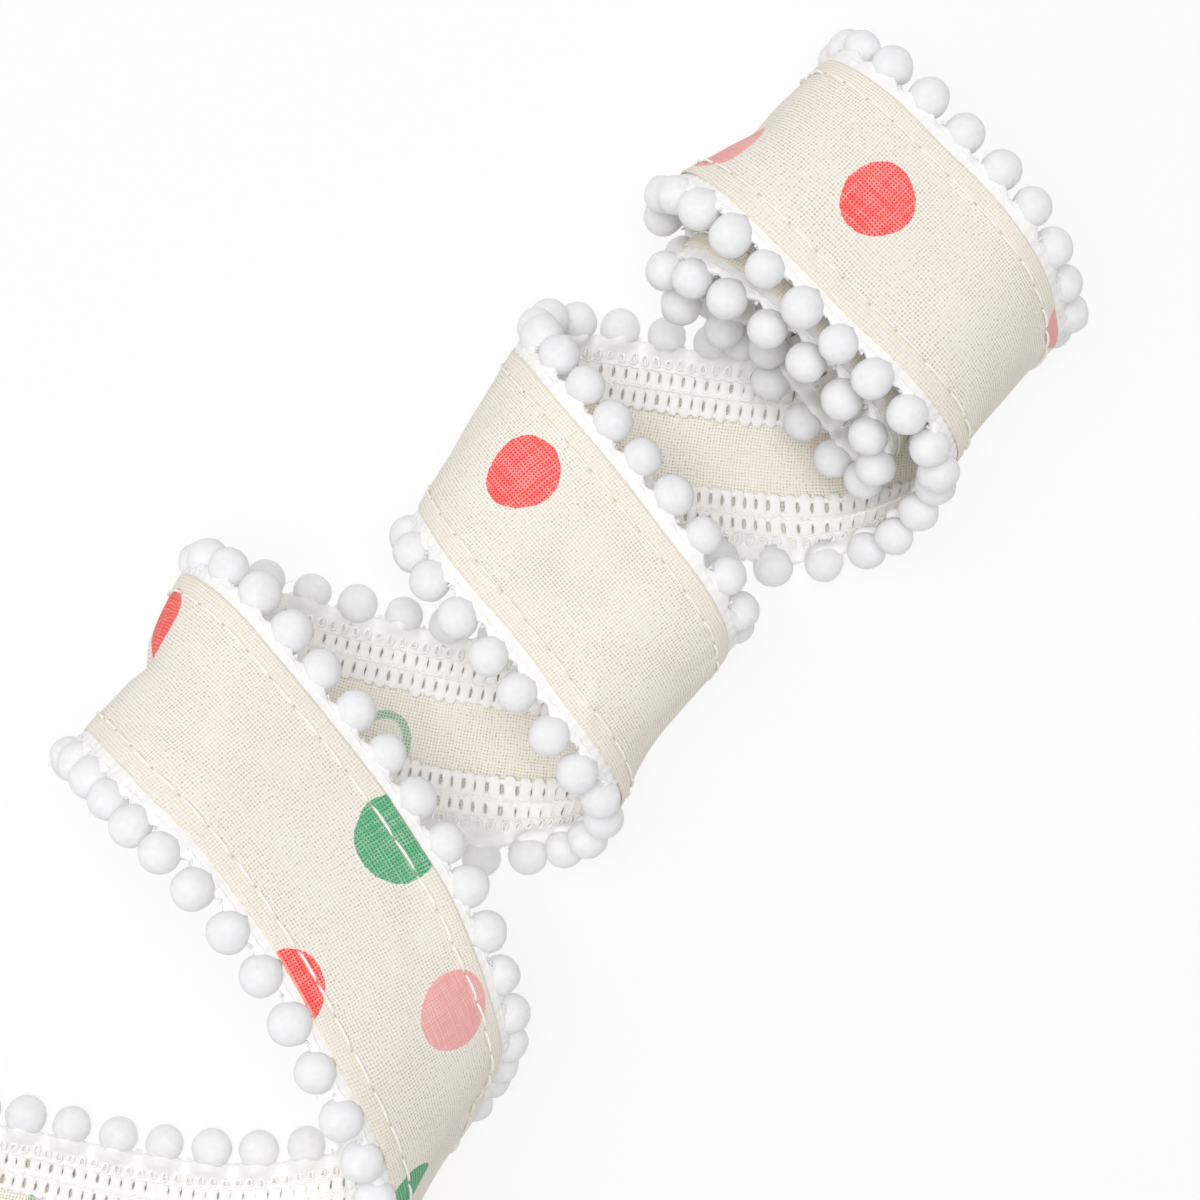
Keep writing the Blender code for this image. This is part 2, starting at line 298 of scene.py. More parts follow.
    def place_on_line(self, s: Array, v: Array, w: Array) -> Array:
        """Points on the fold lines at s, v across and w inward.

        The creases press them inward, one edge spreads a little over the roll, and where the
        ribbon lies down its edges are lifted, because they rest on the pompoms.
        """
        line = self._at(s)
        u = s + v * line[..., 9]
        w = w + self.relief(u, v)
        v = v - (self.spread * np.exp(-((u - self.spread_at) / self.spread_reach) ** 2)
                 * np.clip((-v - self.spread_inside) / self.spread_width, 0.0, 1.0))
        points = line[..., 0:3] + line[..., 3:6] * v[..., None]
        lift = self.pompom_lift * eased(np.clip((np.abs(v) - self.lift_inside) / self.lift_width,
                                                0.0, 1.0))
        points[..., 2] += lift * np.exp(-(points[..., 2] / self.low_height) ** 2)
        points = points + line[..., 6:9] * w[..., None]
        points[..., 2] = np.maximum(points[..., 2], self.floor_gap)
        return points

    def place(self, u: Array, v: Array, w: Array) -> Array:
        """Points at ribbon coordinates (u, v, w)."""
        u, v, w = np.broadcast_arrays(np.asarray(u, float), v, w)
        return self.place_on_line(self.station(u, v), v, w)

    def inward(self, u: Array, v: Array) -> Array:
        """Unit vectors through the ribbon, towards its inner face."""
        u, v = np.broadcast_arrays(np.asarray(u, float), v)
        return unit(self._at(self.station(u, v))[..., 6:9])

    def usable(self, u: Array, v: float, margin: float) -> Array:
        """Which places along u lie inside both cut ends at the given v."""
        s = self.station(u, np.full(np.shape(u), v))
        return (s > margin) & (s < self.length - margin)


@dataclass(frozen=True)
class Crease:
    """A soft trough (or a ridge, if depth is negative) pressed into the ribbon."""

    u: float
    v: float
    angle: float
    half_length: float
    half_width: float
    depth: float

    def depth_at(self, u: Array, v: Array) -> Array:
        """Bell-shaped depth: long along the crease's angle from the ribbon's length."""
        turn = np.radians(self.angle)
        a = (u - self.u) * np.cos(turn) + (v - self.v) * np.sin(turn)
        b = -(u - self.u) * np.sin(turn) + (v - self.v) * np.cos(turn)
        return self.depth * np.exp(-(a / self.half_length) ** 2 - (b / self.half_width) ** 2)


CREASES = tuple(Crease(*row) for row in (
    (126.0, -2.5, 92.0, 12.0, 11.0, 2.3), (126.0, -0.5, 92.0, 3.0, 8.0, 1.0),
    (194.0, -7.5, 99.0, 8.0, 8.0, 1.4), (194.0, 15.0, 99.0, 7.0, 7.0, -1.8),
    (342.0, -3.0, 106.0, 9.0, 10.0, 1.7), (125.0, 9.0, 92.0, 8.0, 5.0, 0.9),
    (441.0, -3.5, 93.0, 10.0, 12.0, 2.5), (442.0, -1.0, 96.0, 2.4, 10.0, 1.8),
    (460.0, 4.0, -20.0, 8.0, 1.5, 0.45), (452.0, -9.5, 90.0, 3.0, 5.0, -0.4),
    (463.0, -5.5, 25.0, 7.0, 1.2, 0.35), (541.0, 1.0, 106.0, 15.0, 9.0, 3.4),
    (334.0, 6.5, 60.0, 5.0, 1.1, 0.40), (328.0, 8.5, 50.0, 4.0, 0.9, -0.30),
    (326.0, -8.5, -50.0, 4.5, 0.9, -0.28), (338.0, -1.0, 80.0, 6.0, 1.4, 0.30),
    (322.0, 3.0, 30.0, 7.0, 1.2, 0.18), (312.0, -2.0, -35.0, 8.0, 1.5, 0.15),
    (286.0, 2.0, 80.0, 6.0, 2.0, 0.30), (474.0, 0.0, 40.0, 9.0, 1.6, 0.20),
    (504.0, 4.0, -25.0, 9.0, 1.6, 0.16), (524.0, -3.0, 30.0, 10.0, 1.8, 0.25),
    (168.0, -4.0, 35.0, 9.0, 1.6, 0.15), (186.0, 4.0, -30.0, 8.0, 1.6, 0.18),
))


# ---------------------------------------------------------------------------------------------
# Meshes
# ---------------------------------------------------------------------------------------------
@dataclass
class Shell:
    """Points in millimetres with their four-sided and three-sided faces."""

    points: Array
    quads: Array
    tris: Array = field(default_factory=lambda: np.zeros((0, 3), int))

    def joined(self, *others: "Shell") -> "Shell":
        """This shell and others as one."""
        parts = (self, *others)
        starts = np.cumsum([0] + [len(part.points) for part in parts[:-1]])
        return Shell(np.vstack([part.points for part in parts]),
                     np.vstack([part.quads + start for part, start in zip(parts, starts)]),
                     np.vstack([part.tris + start for part, start in zip(parts, starts)]))


def mesh_object(name: str, shell: Shell, uv: Optional[Array] = None,
                bands: Optional[Array] = None) -> bpy.types.Object:
    """Make a smooth mesh object.

    Args:
        name: the piece's name.
        shell: its points and faces.
        uv: one flat place for each point, in metres, for cloth patterns.
        bands: material index of each four-sided face.

    Returns:
        The object, linked to the scene.
    """
    mesh = bpy.data.meshes.new(name)
    loops = np.concatenate([shell.quads.ravel(), shell.tris.ravel()]).astype(np.int32)
    four, three = len(shell.quads), len(shell.tris)
    starts = np.concatenate([np.arange(four) * 4, four * 4 + np.arange(three) * 3])
    mesh.vertices.add(len(shell.points))
    mesh.vertices.foreach_set("co", (shell.points * MM).astype(np.float32).ravel())
    mesh.loops.add(len(loops))
    mesh.loops.foreach_set("vertex_index", loops)
    mesh.polygons.add(four + three)
    mesh.polygons.foreach_set("loop_start", starts.astype(np.int32))
    if uv is not None:
        layer = mesh.uv_layers.new(name="flat_cloth")
        layer.data.foreach_set("uv", uv[loops].astype(np.float32).ravel())
    mesh.update(calc_edges=True)
    mesh.polygons.foreach_set("use_smooth", np.ones(four + three, bool))
    if bands is not None:
        index = np.concatenate([bands, np.zeros(three, int)]).astype(np.int32)
        mesh.polygons.foreach_set("material_index", index)
    mesh.update()
    thing = bpy.data.objects.new(name, mesh)
    bpy.context.scene.collection.objects.link(thing)
    log.info("%s: %d triangles", name, 2 * four + three)
    return thing


def ring_quads(count: int, steps: int, sides: int, closed: bool = False) -> Array:
    """Quads between the neighbouring rings of many tubes."""
    last = steps if closed else steps - 1
    tube, row, side = np.meshgrid(np.arange(count), np.arange(last), np.arange(sides),
                                  indexing="ij")
    here, above = ((tube * steps + place) * sides for place in (row, (row + 1) % steps))
    after = (side + 1) % sides
    return np.stack([here + side, here + after, above + after, above + side],
                    -1).reshape(-1, 4)


def swept(rings: Array) -> Shell:
    """Closed bar through rings of points, (rows, sides, 3), with quads across both ends.

    The first half of each ring is one face and the second half, in reverse, the other.
    """
    rows, sides = rings.shape[:2]
    k = np.arange(sides // 2 - 1)
    cap = np.stack([k, sides - 1 - k, sides - 2 - k, k + 1], -1)
    end = cap[:, ::-1] + (rows - 1) * sides
    return Shell(rings.reshape(-1, 3), np.vstack([ring_quads(1, rows, sides), cap, end]))


def capped(rings: Array, starts: Array, ends: Array) -> Shell:
    """Tubes through their rings, (tubes, steps, sides, 3), closed by a point at each end."""
    count, steps, sides = rings.shape[:3]
    tube, side = np.meshgrid(np.arange(count), np.arange(sides), indexing="ij")
    after = (side + 1) % sides
    first = tube * steps * sides
    final = first + (steps - 1) * sides
    pole = count * steps * sides + tube
    tris = np.stack([np.stack([pole, first + after, first + side], -1),
                     np.stack([final + side, final + after, pole + count], -1)])
    return Shell(np.vstack([rings.reshape(-1, 3), starts, ends]),
                 ring_quads(count, steps, sides), tris.reshape(-1, 3))


def fuller(wave: Array, power: float) -> Array:
    """A wave from -1 to 1 with fuller shoulders, for a power under 1."""
    return np.sign(wave) * np.abs(wave) ** power


def tubes(paths: Array, lifts: Array, widths: Array, depths: Array, sides: int,
          closed: bool = False, square: float = 1.0) -> Shell:
    """Many tubes at once: an ellipse carried along each path.

    Args:
        paths: (tubes, steps, 3) middle lines.
        lifts: (tubes, steps, 3) rough direction of the ellipse's depth.
        widths, depths: half sizes of the ellipse, one for all or (tubes, steps).
        sides: points round the ellipse.
        closed: whether each path is a ring. An open tube is closed by a point at each end.
        square: 1 for an ellipse, and less for one with fuller corners.

    Returns:
        One shell with all the tubes.
    """
    count, steps = paths.shape[:2]
    widths, depths = (np.broadcast_to(size, (count, steps)) for size in (widths, depths))
    if closed:
        tangent = unit(np.roll(paths, -1, 1) - np.roll(paths, 1, 1))
    else:
        tangent = unit(np.gradient(paths, axis=1))
    across = unit(np.cross(lifts, tangent))
    up = np.cross(tangent, across)
    angle = np.arange(sides) * 2.0 * np.pi / sides
    flat, high = fuller(np.cos(angle), square), fuller(np.sin(angle), square)
    rings = (paths[:, :, None]
             + across[:, :, None] * (flat[:, None] * widths[:, :, None, None])
             + up[:, :, None] * (high[:, None] * depths[:, :, None, None]))
    if closed:
        return Shell(rings.reshape(-1, 3), ring_quads(count, steps, sides, True))
    starts, ends = (paths[:, k] + way * tangent[:, k] * widths[:, k, None] * TUBE_TIP
                    for k, way in ((0, -1.0), (-1, 1.0)))
    return capped(rings, starts, ends)


def ripple(a: Array, b: Array, size: float, seed: int) -> Array:
    """Soft uneven field about -1 to 1: eight plane waves of nearly the same length."""
    rng = np.random.default_rng(seed)
    total = 0.0
    for _ in range(8):
        angle, phase = rng.uniform(0.0, TURN, 2)
        wave = TURN / (size * rng.uniform(0.7, 1.5))
        total = total + np.sin(wave * (a * np.cos(angle) + b * np.sin(angle)) + phase)
    return total / 4.0


# ---------------------------------------------------------------------------------------------
# Finishes
# ---------------------------------------------------------------------------------------------
class DotColour(Enum):
    """Colours of the printed dots, as linear light."""

    RED = (0.97, 0.030, 0.027)
    PINK = (0.92, 0.37, 0.36)
    GREEN = (0.004, 0.36, 0.135)


@dataclass(frozen=True)
class Dot:
    """A printed dot in ribbon coordinates: its middle, radius and colour."""

    u: float
    v: float
    radius: float
    colour: DotColour

    def distance(self, u: Array, v: Array) -> Array:
        """Distance from its outline, which is a circle with a slight uneven swell and flats."""
        turn = np.arctan2(v - self.v, u - self.u)
        swell = 0.035 * np.cos(2.0 * turn + self.u) + 0.022 * np.cos(3.0 * turn + 2.0 * self.v)
        return np.hypot(u - self.u, v - self.v) - self.radius * (1.0 + swell)

    def ink(self) -> tuple[float, float, float, float]:
        """Its colour, and how much of its outline shows on the inner face."""
        return (*self.colour.value, 0.85 if self.colour is DotColour.GREEN else 0.12)


def dots(colour: DotColour, *rows: tuple) -> tuple[Dot, ...]:
    """Dots of one colour, from their middles and radii."""
    return tuple(Dot(*row, colour) for row in rows)


DOTS = (
    *dots(DotColour.GREEN, (14.0, 3.0, 4.9), (88.4, -2.7, 5.0), (262.0, -8.0, 4.8),
          (391.4, -2.9, 4.3), (491.6, 9.1, 5.2), (532.5, -9.2, 4.9), (612.0, 4.0, 4.9)),
    *dots(DotColour.PINK, (131.5, -5.6, 4.9), (188.6, 13.3, 4.9), (360.0, -9.0, 4.8),
          (418.0, 8.5, 4.9), (513.6, 5.6, 5.2), (584.0, -6.5, 4.9)),
    *dots(DotColour.RED, (154.0, 0.3, 4.75), (221.0, 4.0, 5.2), (298.2, 2.4, 4.75),
          (447.0, 4.5, 4.9), (499.6, -13.0, 5.2), (560.0, 6.0, 4.9)),
)


class Value:
    """One output of a shader node, with the sums that the finishes are written in."""

    def __init__(self, sheet: "NodeSheet", socket: bpy.types.NodeSocket) -> None:
        """Keep the output and its material's sheet."""
        self.sheet = sheet
        self.socket = socket

    def __add__(self, other: "Value | float") -> "Value":
        """Sum with a value or number."""
        return self.sheet.math("ADD", self, other)

    def __sub__(self, other: "Value | float") -> "Value":
        """Difference from a value or number."""
        return self.sheet.math("SUBTRACT", self, other)

    def __rsub__(self, number: float) -> "Value":
        """A number less this value."""
        return self.sheet.math("SUBTRACT", number, self)

    def __mul__(self, other: "Value | float") -> "Value":
        """Product with a value or number."""
        return self.sheet.math("MULTIPLY", self, other)

    def __abs__(self) -> "Value":
        """The value without its sign."""
        return self.sheet.math("ABSOLUTE", self)

    def span(self, low: float, high: float, out_low: float = 0.0,
             out_high: float = 1.0) -> "Value":
        """Smooth step between two values."""
        return self.sheet.output("MapRange", {"Value": self, "From Min": low, "From Max": high,
                                              "To Min": out_low, "To Max": out_high},
                                 interpolation_type="SMOOTHSTEP")


class NodeSheet:
    """Small helper that adds and links shader nodes of one material."""

    def __init__(self, name: str) -> None:
        """Start a material with its Principled shader."""
        self.material = bpy.data.materials.new(name)
        self.material.use_nodes = True
        self.tree = self.material.node_tree
        self.shader = self.tree.nodes["Principled BSDF"]

    def feed(self, node: bpy.types.Node, inputs: dict) -> None:
        """Link or set inputs of a node. A colour may be given as three numbers."""
        for key, value in inputs.items():
            socket = node.inputs[key]
            if isinstance(value, Value):
                self.tree.links.new(value.socket, socket)
            elif isinstance(value, tuple) and len(socket.default_value) == 4:
                socket.default_value = (*value, 1.0)
            else:
                socket.default_value = value

    def node(self, kind: str, inputs: dict, **settings: str) -> bpy.types.Node:
        """Add a node with the given settings and inputs."""
        made = self.tree.nodes.new("ShaderNode" + kind)
        for key, value in settings.items():
            setattr(made, key, value)
        self.feed(made, inputs)
        return made

    def output(self, kind: str, inputs: dict, which: int | str = 0, **settings: str) -> Value:
        """One output of a new node."""
        return Value(self, self.node(kind, inputs, **settings).outputs[which])

    def math(self, operation: str, *values: Value | float) -> Value:
        """Output of a Math node."""
        return self.output("Math", dict(enumerate(values)), operation=operation)

    def mix(self, factor: Value | float, first: Value | tuple, second: Value | tuple) -> Value:
        """Output of a colour Mix node."""
        return self.output("Mix", {"Factor": factor, 6: first, 7: second}, 2, data_type="RGBA")

    def noise(self, vector: Value, scale: float, detail: float = 2.0,
              rough: float = 0.5) -> Value:
        """Output of a Noise node."""
        return self.output("TexNoise", {"Vector": vector, "Scale": scale, "Detail": detail,
                                        "Roughness": rough})

    def stretched(self, vector: Value, *scale: float) -> Value:
        """Output of a Mapping node that scales a pattern."""
        return self.output("Mapping", {"Vector": vector, "Scale": scale})

    def surface(self, colour: Value, rough: float, shine: float, height: Value,
                relief: float) -> None:
        """Give the shader its colour, roughness, shine and relief."""
        bump = self.output("Bump", {"Strength": 0.5, "Distance": relief, "Height": height})
        self.feed(self.shader, {"Base Color": colour, "Roughness": rough,
                                "Specular IOR Level": shine, "Normal": bump})


@dataclass(frozen=True)
class PrintedCotton:
    """Plain-weave cotton, dots printed on the outer face and faintly through to the inner one."""

    thread: float = 0.43
    stitch: float = 4.7
    ground: tuple[float, float, float] = (0.975, 0.954, 0.912)
    shade: tuple[float, float, float] = (0.76, 0.68, 0.53)
    gap: tuple[float, float, float] = (0.40, 0.29, 0.16)
    hem_tint: tuple[float, float, float] = (0.93, 0.86, 0.72)
    bare: tuple[float, float, float] = (0.97, 0.90, 0.86)
    hem_start: float = 8.9
    seam_at: float = 9.0
    cloth_edge: float = 11.5
    tape_width: float = 6.7
    # how strongly the painted shadow under the tape darkens the inner face
    tape_shadow_depth: float = 0.40
    outline_waver: float = 0.35
    line_depth: float = 0.50
    ring_width: float = 1.35

    def material(self, name: str, inner: bool) -> bpy.types.Material:
        """Make the cloth's finish.

        Args:
            name: the material's name.
            inner: True for the face inside the coils, where the print is only a faint ring.

        Returns:
            The material.
        """
        sheet = NodeSheet(name)
        flat = sheet.output("UVMap", {}, uv_map="flat_cloth")
        parts = sheet.node("SeparateXYZ", {0: flat})
        u, v = (Value(sheet, parts.outputs[k]) * (1.0 / MM) for k in (0, 1))
        edge = abs(v)
        hem = edge.span(self.hem_start, self.hem_start + 0.3)
        warp_gap, weft_gap = self._thread_gaps(sheet, flat, u, v)
        slub = (sheet.noise(sheet.stretched(flat, 0.16, 3.4, 1.0), 1000.0, 1.0)
                + sheet.noise(sheet.stretched(flat, 3.4, 0.16, 1.0), 1000.0, 1.0))
        cloud = sheet.noise(flat, 60.0, 0.0)
        colour = sheet.mix(slub.span(0.80, 1.16, 0.16, 0.0), self.ground, self.shade)
        colour = sheet.mix(cloud.span(0.35, 0.75, 0.0, 0.05), colour, self.shade)
        if inner:
            # Painted shadow: the inner face is mixed towards the shade colour where the tape lies
            # over it.
            tape = self.cloth_edge - self.tape_width
            under = edge.span(tape, tape + 0.5) * self.tape_shadow_depth
            colour = sheet.mix(under, colour, self.shade)
        else:
            colour = sheet.mix(hem * 0.26, colour, self.hem_tint)
        lines = sheet.math("MAXIMUM", warp_gap, weft_gap)
        colour, printed = self._printed(sheet, flat, colour, lines, inner)
        strength = 1.0 - printed * 0.9
        colour = sheet.mix(lines * (strength * self.line_depth), colour, self.shade)
        uneven = sheet.noise(flat, 2300.0, 0.0) * 0.72 + sheet.noise(flat, 170.0, 0.0) * 0.28
        hole = warp_gap * weft_gap * uneven.span(0.46, 0.60, 0.24, 1.0) * (1.0 - hem * 0.5)
        colour = sheet.mix(hole * (strength * 0.95), colour, self.gap)
        if not inner:
            fleck = lines * slub.span(0.85, 1.15, 1.0, 0.4) * printed * 0.42
            colour = sheet.mix(fleck, colour, self.bare)
            colour = self._painted_seam_and_edge_shade(sheet, colour, u, edge, flat)
        sheet.surface(colour, 0.92, 0.10, slub, 0.00007)
        return sheet.material

    def _thread_gaps(self, sheet: NodeSheet, flat: Value, u: Value, v: Value) -> list[Value]:
        """Narrow lines between neighbouring threads, which wander a little."""
        gaps = []
        for place, drift in ((v, (0.9, 0.10, 1.0)), (u, (0.10, 0.9, 1.0))):
            wander = sheet.noise(sheet.stretched(flat, *drift), 420.0, 1.0) - 0.5
            wave = sheet.math("COSINE", (place + wander * 0.60) * (np.pi / self.thread))
            gaps.append(sheet.math("POWER", abs(wave), 3.6))
        return gaps

    def _printed(self, sheet: NodeSheet, flat: Value, colour: Value, lines: Value,
                 inner: bool) -> tuple[Value, Value]:
        """Mix the dots over the cloth, where the distance from a dot's edge, wavering, is < 0."""
        waver = (sheet.noise(flat, 260.0) - 0.5) * (2.0 * self.outline_waver)
        frayed = (sheet.noise(flat, 2600.0, 1.0) - 0.5) * 0.25
        away = sheet.output("Attribute", {}, "Fac", attribute_name="dot_edge") * (1.0 / MM)
        away = away + (waver + frayed)
        ink = sheet.node("Attribute", {}, attribute_name="dot_ink")
        printed = away.span(-0.05, 0.05, 1.0, 0.0)
        if inner:
            ring = away.span(-self.ring_width, -1.0) * (1.0 - lines * 0.7)
            printed = printed * (Value(sheet, ink.outputs["Alpha"]) * ring + 0.05)
        return sheet.mix(printed, colour, Value(sheet, ink.outputs["Color"])), printed

    def _painted_seam_and_edge_shade(self, sheet: NodeSheet, colour: Value, u: Value, edge: Value,
                    flat: Value) -> Value:
        """Painted tan shade in the sunken stitch line and along the folded edge, and the needle
        holes.
        """
        uneven = sheet.noise(sheet.stretched(flat, 1.0, 3.0, 1.0), 700.0)
        away = abs(edge - self.seam_at)
        # Painted shade: tan along the sunken stitch line.
        groove = away.span(0.12, 0.36, 1.0, 0.0) * uneven.span(0.35, 0.7, 0.15, 0.55)
        colour = sheet.mix(groove, colour, self.shade)
        count = sheet.math("FRACT", sheet.math("DIVIDE", u + 0.03 * self.stitch, self.stitch))
        ends = abs(count - 0.6) * self.stitch
        pin = ends * ends + away * away
        colour = sheet.mix(pin.span(0.010, 0.05, 0.45, 0.0), colour, self.gap)
        # Painted shade: tan along the folded edge.
        painted_rim_shade = (edge.span(self.cloth_edge - 0.34, self.cloth_edge - 0.02)
               * uneven.span(0.3, 0.65, 0.25, 0.75))
        return sheet.mix(painted_rim_shade, colour, self.shade)


@dataclass(frozen=True)
class SoftCotton:
    """White cotton yarn: its two tones, the size and relief of its fibres, and its glow."""

    colour: tuple[float, float, float] = (0.975, 0.965, 0.945)
    shade: tuple[float, float, float] = (0.94, 0.925, 0.90)
    fibre_scale: float = 900.0
    relief: float = 0.00008
    glow: float = 0.0

    def material(self, name: str) -> bpy.types.Material:
        """Make the yarn's finish: fine fibre noise in tone and relief."""
        sheet = NodeSheet(name)
        where = sheet.output("TexCoord", {}, "Object")
        fibre = sheet.noise(where, self.fibre_scale, 2.0, 0.65)
        colour = sheet.mix(fibre.span(0.35, 0.65), self.shade, self.colour)
        sheet.surface(colour, 0.95, 0.08, fibre, self.relief)
        sheet.feed(sheet.shader, {"Subsurface Weight": self.glow, "Subsurface Scale": 1.0,
                                  "Subsurface Radius": (0.0016, 0.0014, 0.0012)})
        return sheet.material


YARN = SoftCotton()
FLUFF = SoftCotton((0.885, 0.885, 0.895), (0.85, 0.85, 0.86), relief=0.00010, glow=0.25)
BRUSHED = SoftCotton((0.965, 0.96, 0.95), (0.94, 0.93, 0.92), relief=0.00005)
SEWING = SoftCotton((0.985, 0.98, 0.96), (0.94, 0.91, 0.85), 1100.0)


# ---------------------------------------------------------------------------------------------
# Pieces
# ---------------------------------------------------------------------------------------------
@dataclass
class CottonRibbon:
    """The printed cloth: one thin sheet, thicker in its hems, drawn in along its seams."""

    path: RibbonPath
    step: float = 0.8
    outer: float = -0.40
    inner: float = -0.10
    hem_rise: float = 0.07
    seam_inside: float = 2.5
    seam_sink: float = 0.08
    stitch: float = 4.7
    edge_waver: float = 0.012
    unevenness: float = 0.08
    pucker: float = 0.05
    edge_round: float = 0.12

    def _across(self) -> Array:
        """Places across the ribbon: close together in the hems, a millimetre apart between."""
        hem = np.array([0.0, 0.07, 0.2, 0.5, 1.0, 1.55, 1.85, 2.1, 2.3, 2.5, 2.7, 2.95, 3.4])
        middle = np.linspace(-7.4, 7.4, 16)
        half = self.path.half
        return np.concatenate([hem - half, middle, (half - hem)[::-1]])

    def _ink(self, cloth: bpy.types.Object, u: Array, v: Array) -> None:
        """Store, for each point, the distance from the nearest dot's edge and its colour."""
        gaps = np.stack([dot.distance(u, v) for dot in DOTS])
        inks = np.array([dot.ink() for dot in DOTS])[gaps.argmin(0)]
        edge = cloth.data.attributes.new("dot_edge", "FLOAT", "POINT")
        edge.data.foreach_set("value", (gaps.min(0) * MM).astype(np.float32))
        ink = cloth.data.attributes.new("dot_ink", "FLOAT_COLOR", "POINT")
        ink.data.foreach_set("color", inks.astype(np.float32).ravel())

    def _faces(self, u: Array, v: Array) -> tuple[Array, Array]:
        """Heights of the outer and the inner face: hems, stitch line, puckers and soft rims."""
        edge = np.abs(v) - self.path.half
        from_seam = edge + self.seam_inside
        uneven = self.unevenness * ripple(u, v, 12.0, 5)
        wave = np.cos(TURN * u / self.stitch)
        groove = self.seam_sink * np.exp(-(from_seam / 0.35) ** 2) * (0.6 + 0.4 * wave)
        pucker = self.pucker * wave * np.exp(-(from_seam / 1.2) ** 2)
        hem = 1.0 / (1.0 + np.exp(-(from_seam - 0.3) / self.edge_round))
        rounded = np.exp(edge / self.edge_round)
        outer = self.outer - self.hem_rise * hem + groove + pucker + uneven + 0.20 * rounded
        return outer, self.inner + uneven - 0.10 * rounded

    def build(self) -> bpy.types.Object:
        """Make the sheet as rings across the ribbon: the outer face, then the inner one."""
        rows = int(self.path.length / self.step) + 1
        s = np.linspace(0.0, self.path.length, rows)[:, None]
        v = self._across()
        columns = len(v)
        u = s + v * self.path.slope(s)
        fall = np.exp((np.abs(v) - self.path.half) / 2.0)
        wide = v * (1.0 + self.edge_waver * ripple(u, v * 0.0, 14.0, 3) * fall)
        face_out, face_in = (self.path.place_on_line(s + 0.0 * v, wide, w)
                             for w in self._faces(u, v))
        shell = swept(np.concatenate([face_out[:, ::-1], face_in], axis=1))
        flat = np.stack([u, np.broadcast_to(v, u.shape)], -1)
        both = np.concatenate([flat[:, ::-1], flat], axis=1).reshape(-1, 2)
        inside = np.arange(2 * columns) >= columns
        bands = np.concatenate([np.tile(inside.astype(int), rows - 1),
                                np.zeros(2 * (columns - 1), int)])
        cloth = mesh_object("printed_cotton_ribbon", shell, both * MM, bands)
        self._ink(cloth, both[:, 0], both[:, 1])
        finish = PrintedCotton()
        cloth.data.materials.append(finish.material("printed_cotton_outer", False))
        cloth.data.materials.append(finish.material("printed_cotton_inner", True))
        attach(cloth, "root")
        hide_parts("ribbon_cloth")
        return cloth


def drifts(*rows: tuple) -> tuple:
    """How the pompoms sit: u, shift along as a share of their pitch, and shift outward or 0."""
    return tuple((*row, 0.0)[:3] for row in rows)


class Edge(Enum):
    """Which edge of the ribbon a tape is sewn to: its side, node, slot, seed and drifts."""

    UPPER = (+1, "pompom_tape_upper", "white_cotton_yarn_upper", 11,
             drifts((0.0, 0.15), (40.0, 0.15), (110.0, 0.12), (170.0, 0.05), (200.0, 0.36),
                    (235.0, 0.72, -0.7), (250.0, 0.70, -0.7), (270.0, 0.50), (285.0, 0.45),
                    (300.0, 0.28), (308.0, 0.20), (320.0, 0.14), (335.0, 0.25),
                    (341.0, 0.40, 0.7), (350.0, 0.40), (370.0, 0.36, -0.7), (405.0, 0.32, -0.7),
                    (425.0, 0.25, -0.8), (448.0, 0.58, -0.7), (456.0, 0.54, -0.2),
                    (470.0, 0.49), (482.0, 0.50, -0.1), (490.0, 0.56, -0.5),
                    (505.0, 0.42, -0.5), (525.0, 0.44, -0.4), (560.0, 0.70),
                    (585.0, 0.76, 0.2), (618.0, 0.76, 0.2), (632.0, 0.46)))
    LOWER = (-1, "pompom_tape_lower", "white_cotton_yarn_lower", 23,
             drifts((0.0, -0.15), (60.0, -0.18), (100.0, 0.1), (120.0, 0.2),
                    (130.0, 0.55, -0.3), (137.0, 0.58, -0.6), (150.0, 0.55, -0.7),
                    (162.0, 0.50, -0.7), (175.0, 0.46, -0.5), (186.0, 0.33, -0.3),
                    (193.0, 0.18, -0.8), (200.0, 0.10, 0.3), (208.0, 0.0, 1.1), (215.0, 0.0),
                    (224.0, 0.16, -1.2), (240.0, 0.42, -1.4), (262.0, 0.45, -0.5),
                    (275.0, 0.38), (300.0, 0.36), (320.0, 0.28), (332.0, 0.29),
                    (339.0, 0.32, -1.1), (347.0, 0.32, -0.8), (353.0, 0.32, -0.2),
                    (380.0, 0.48), (395.0, 0.42), (455.0, 0.22), (472.0, -0.06),
                    (482.0, -0.34, -0.3), (495.0, -0.33, -1.1), (520.0, -0.27, -1.4),
                    (540.0, -0.18, -1.0), (560.0, -0.10), (632.0, -0.10)))


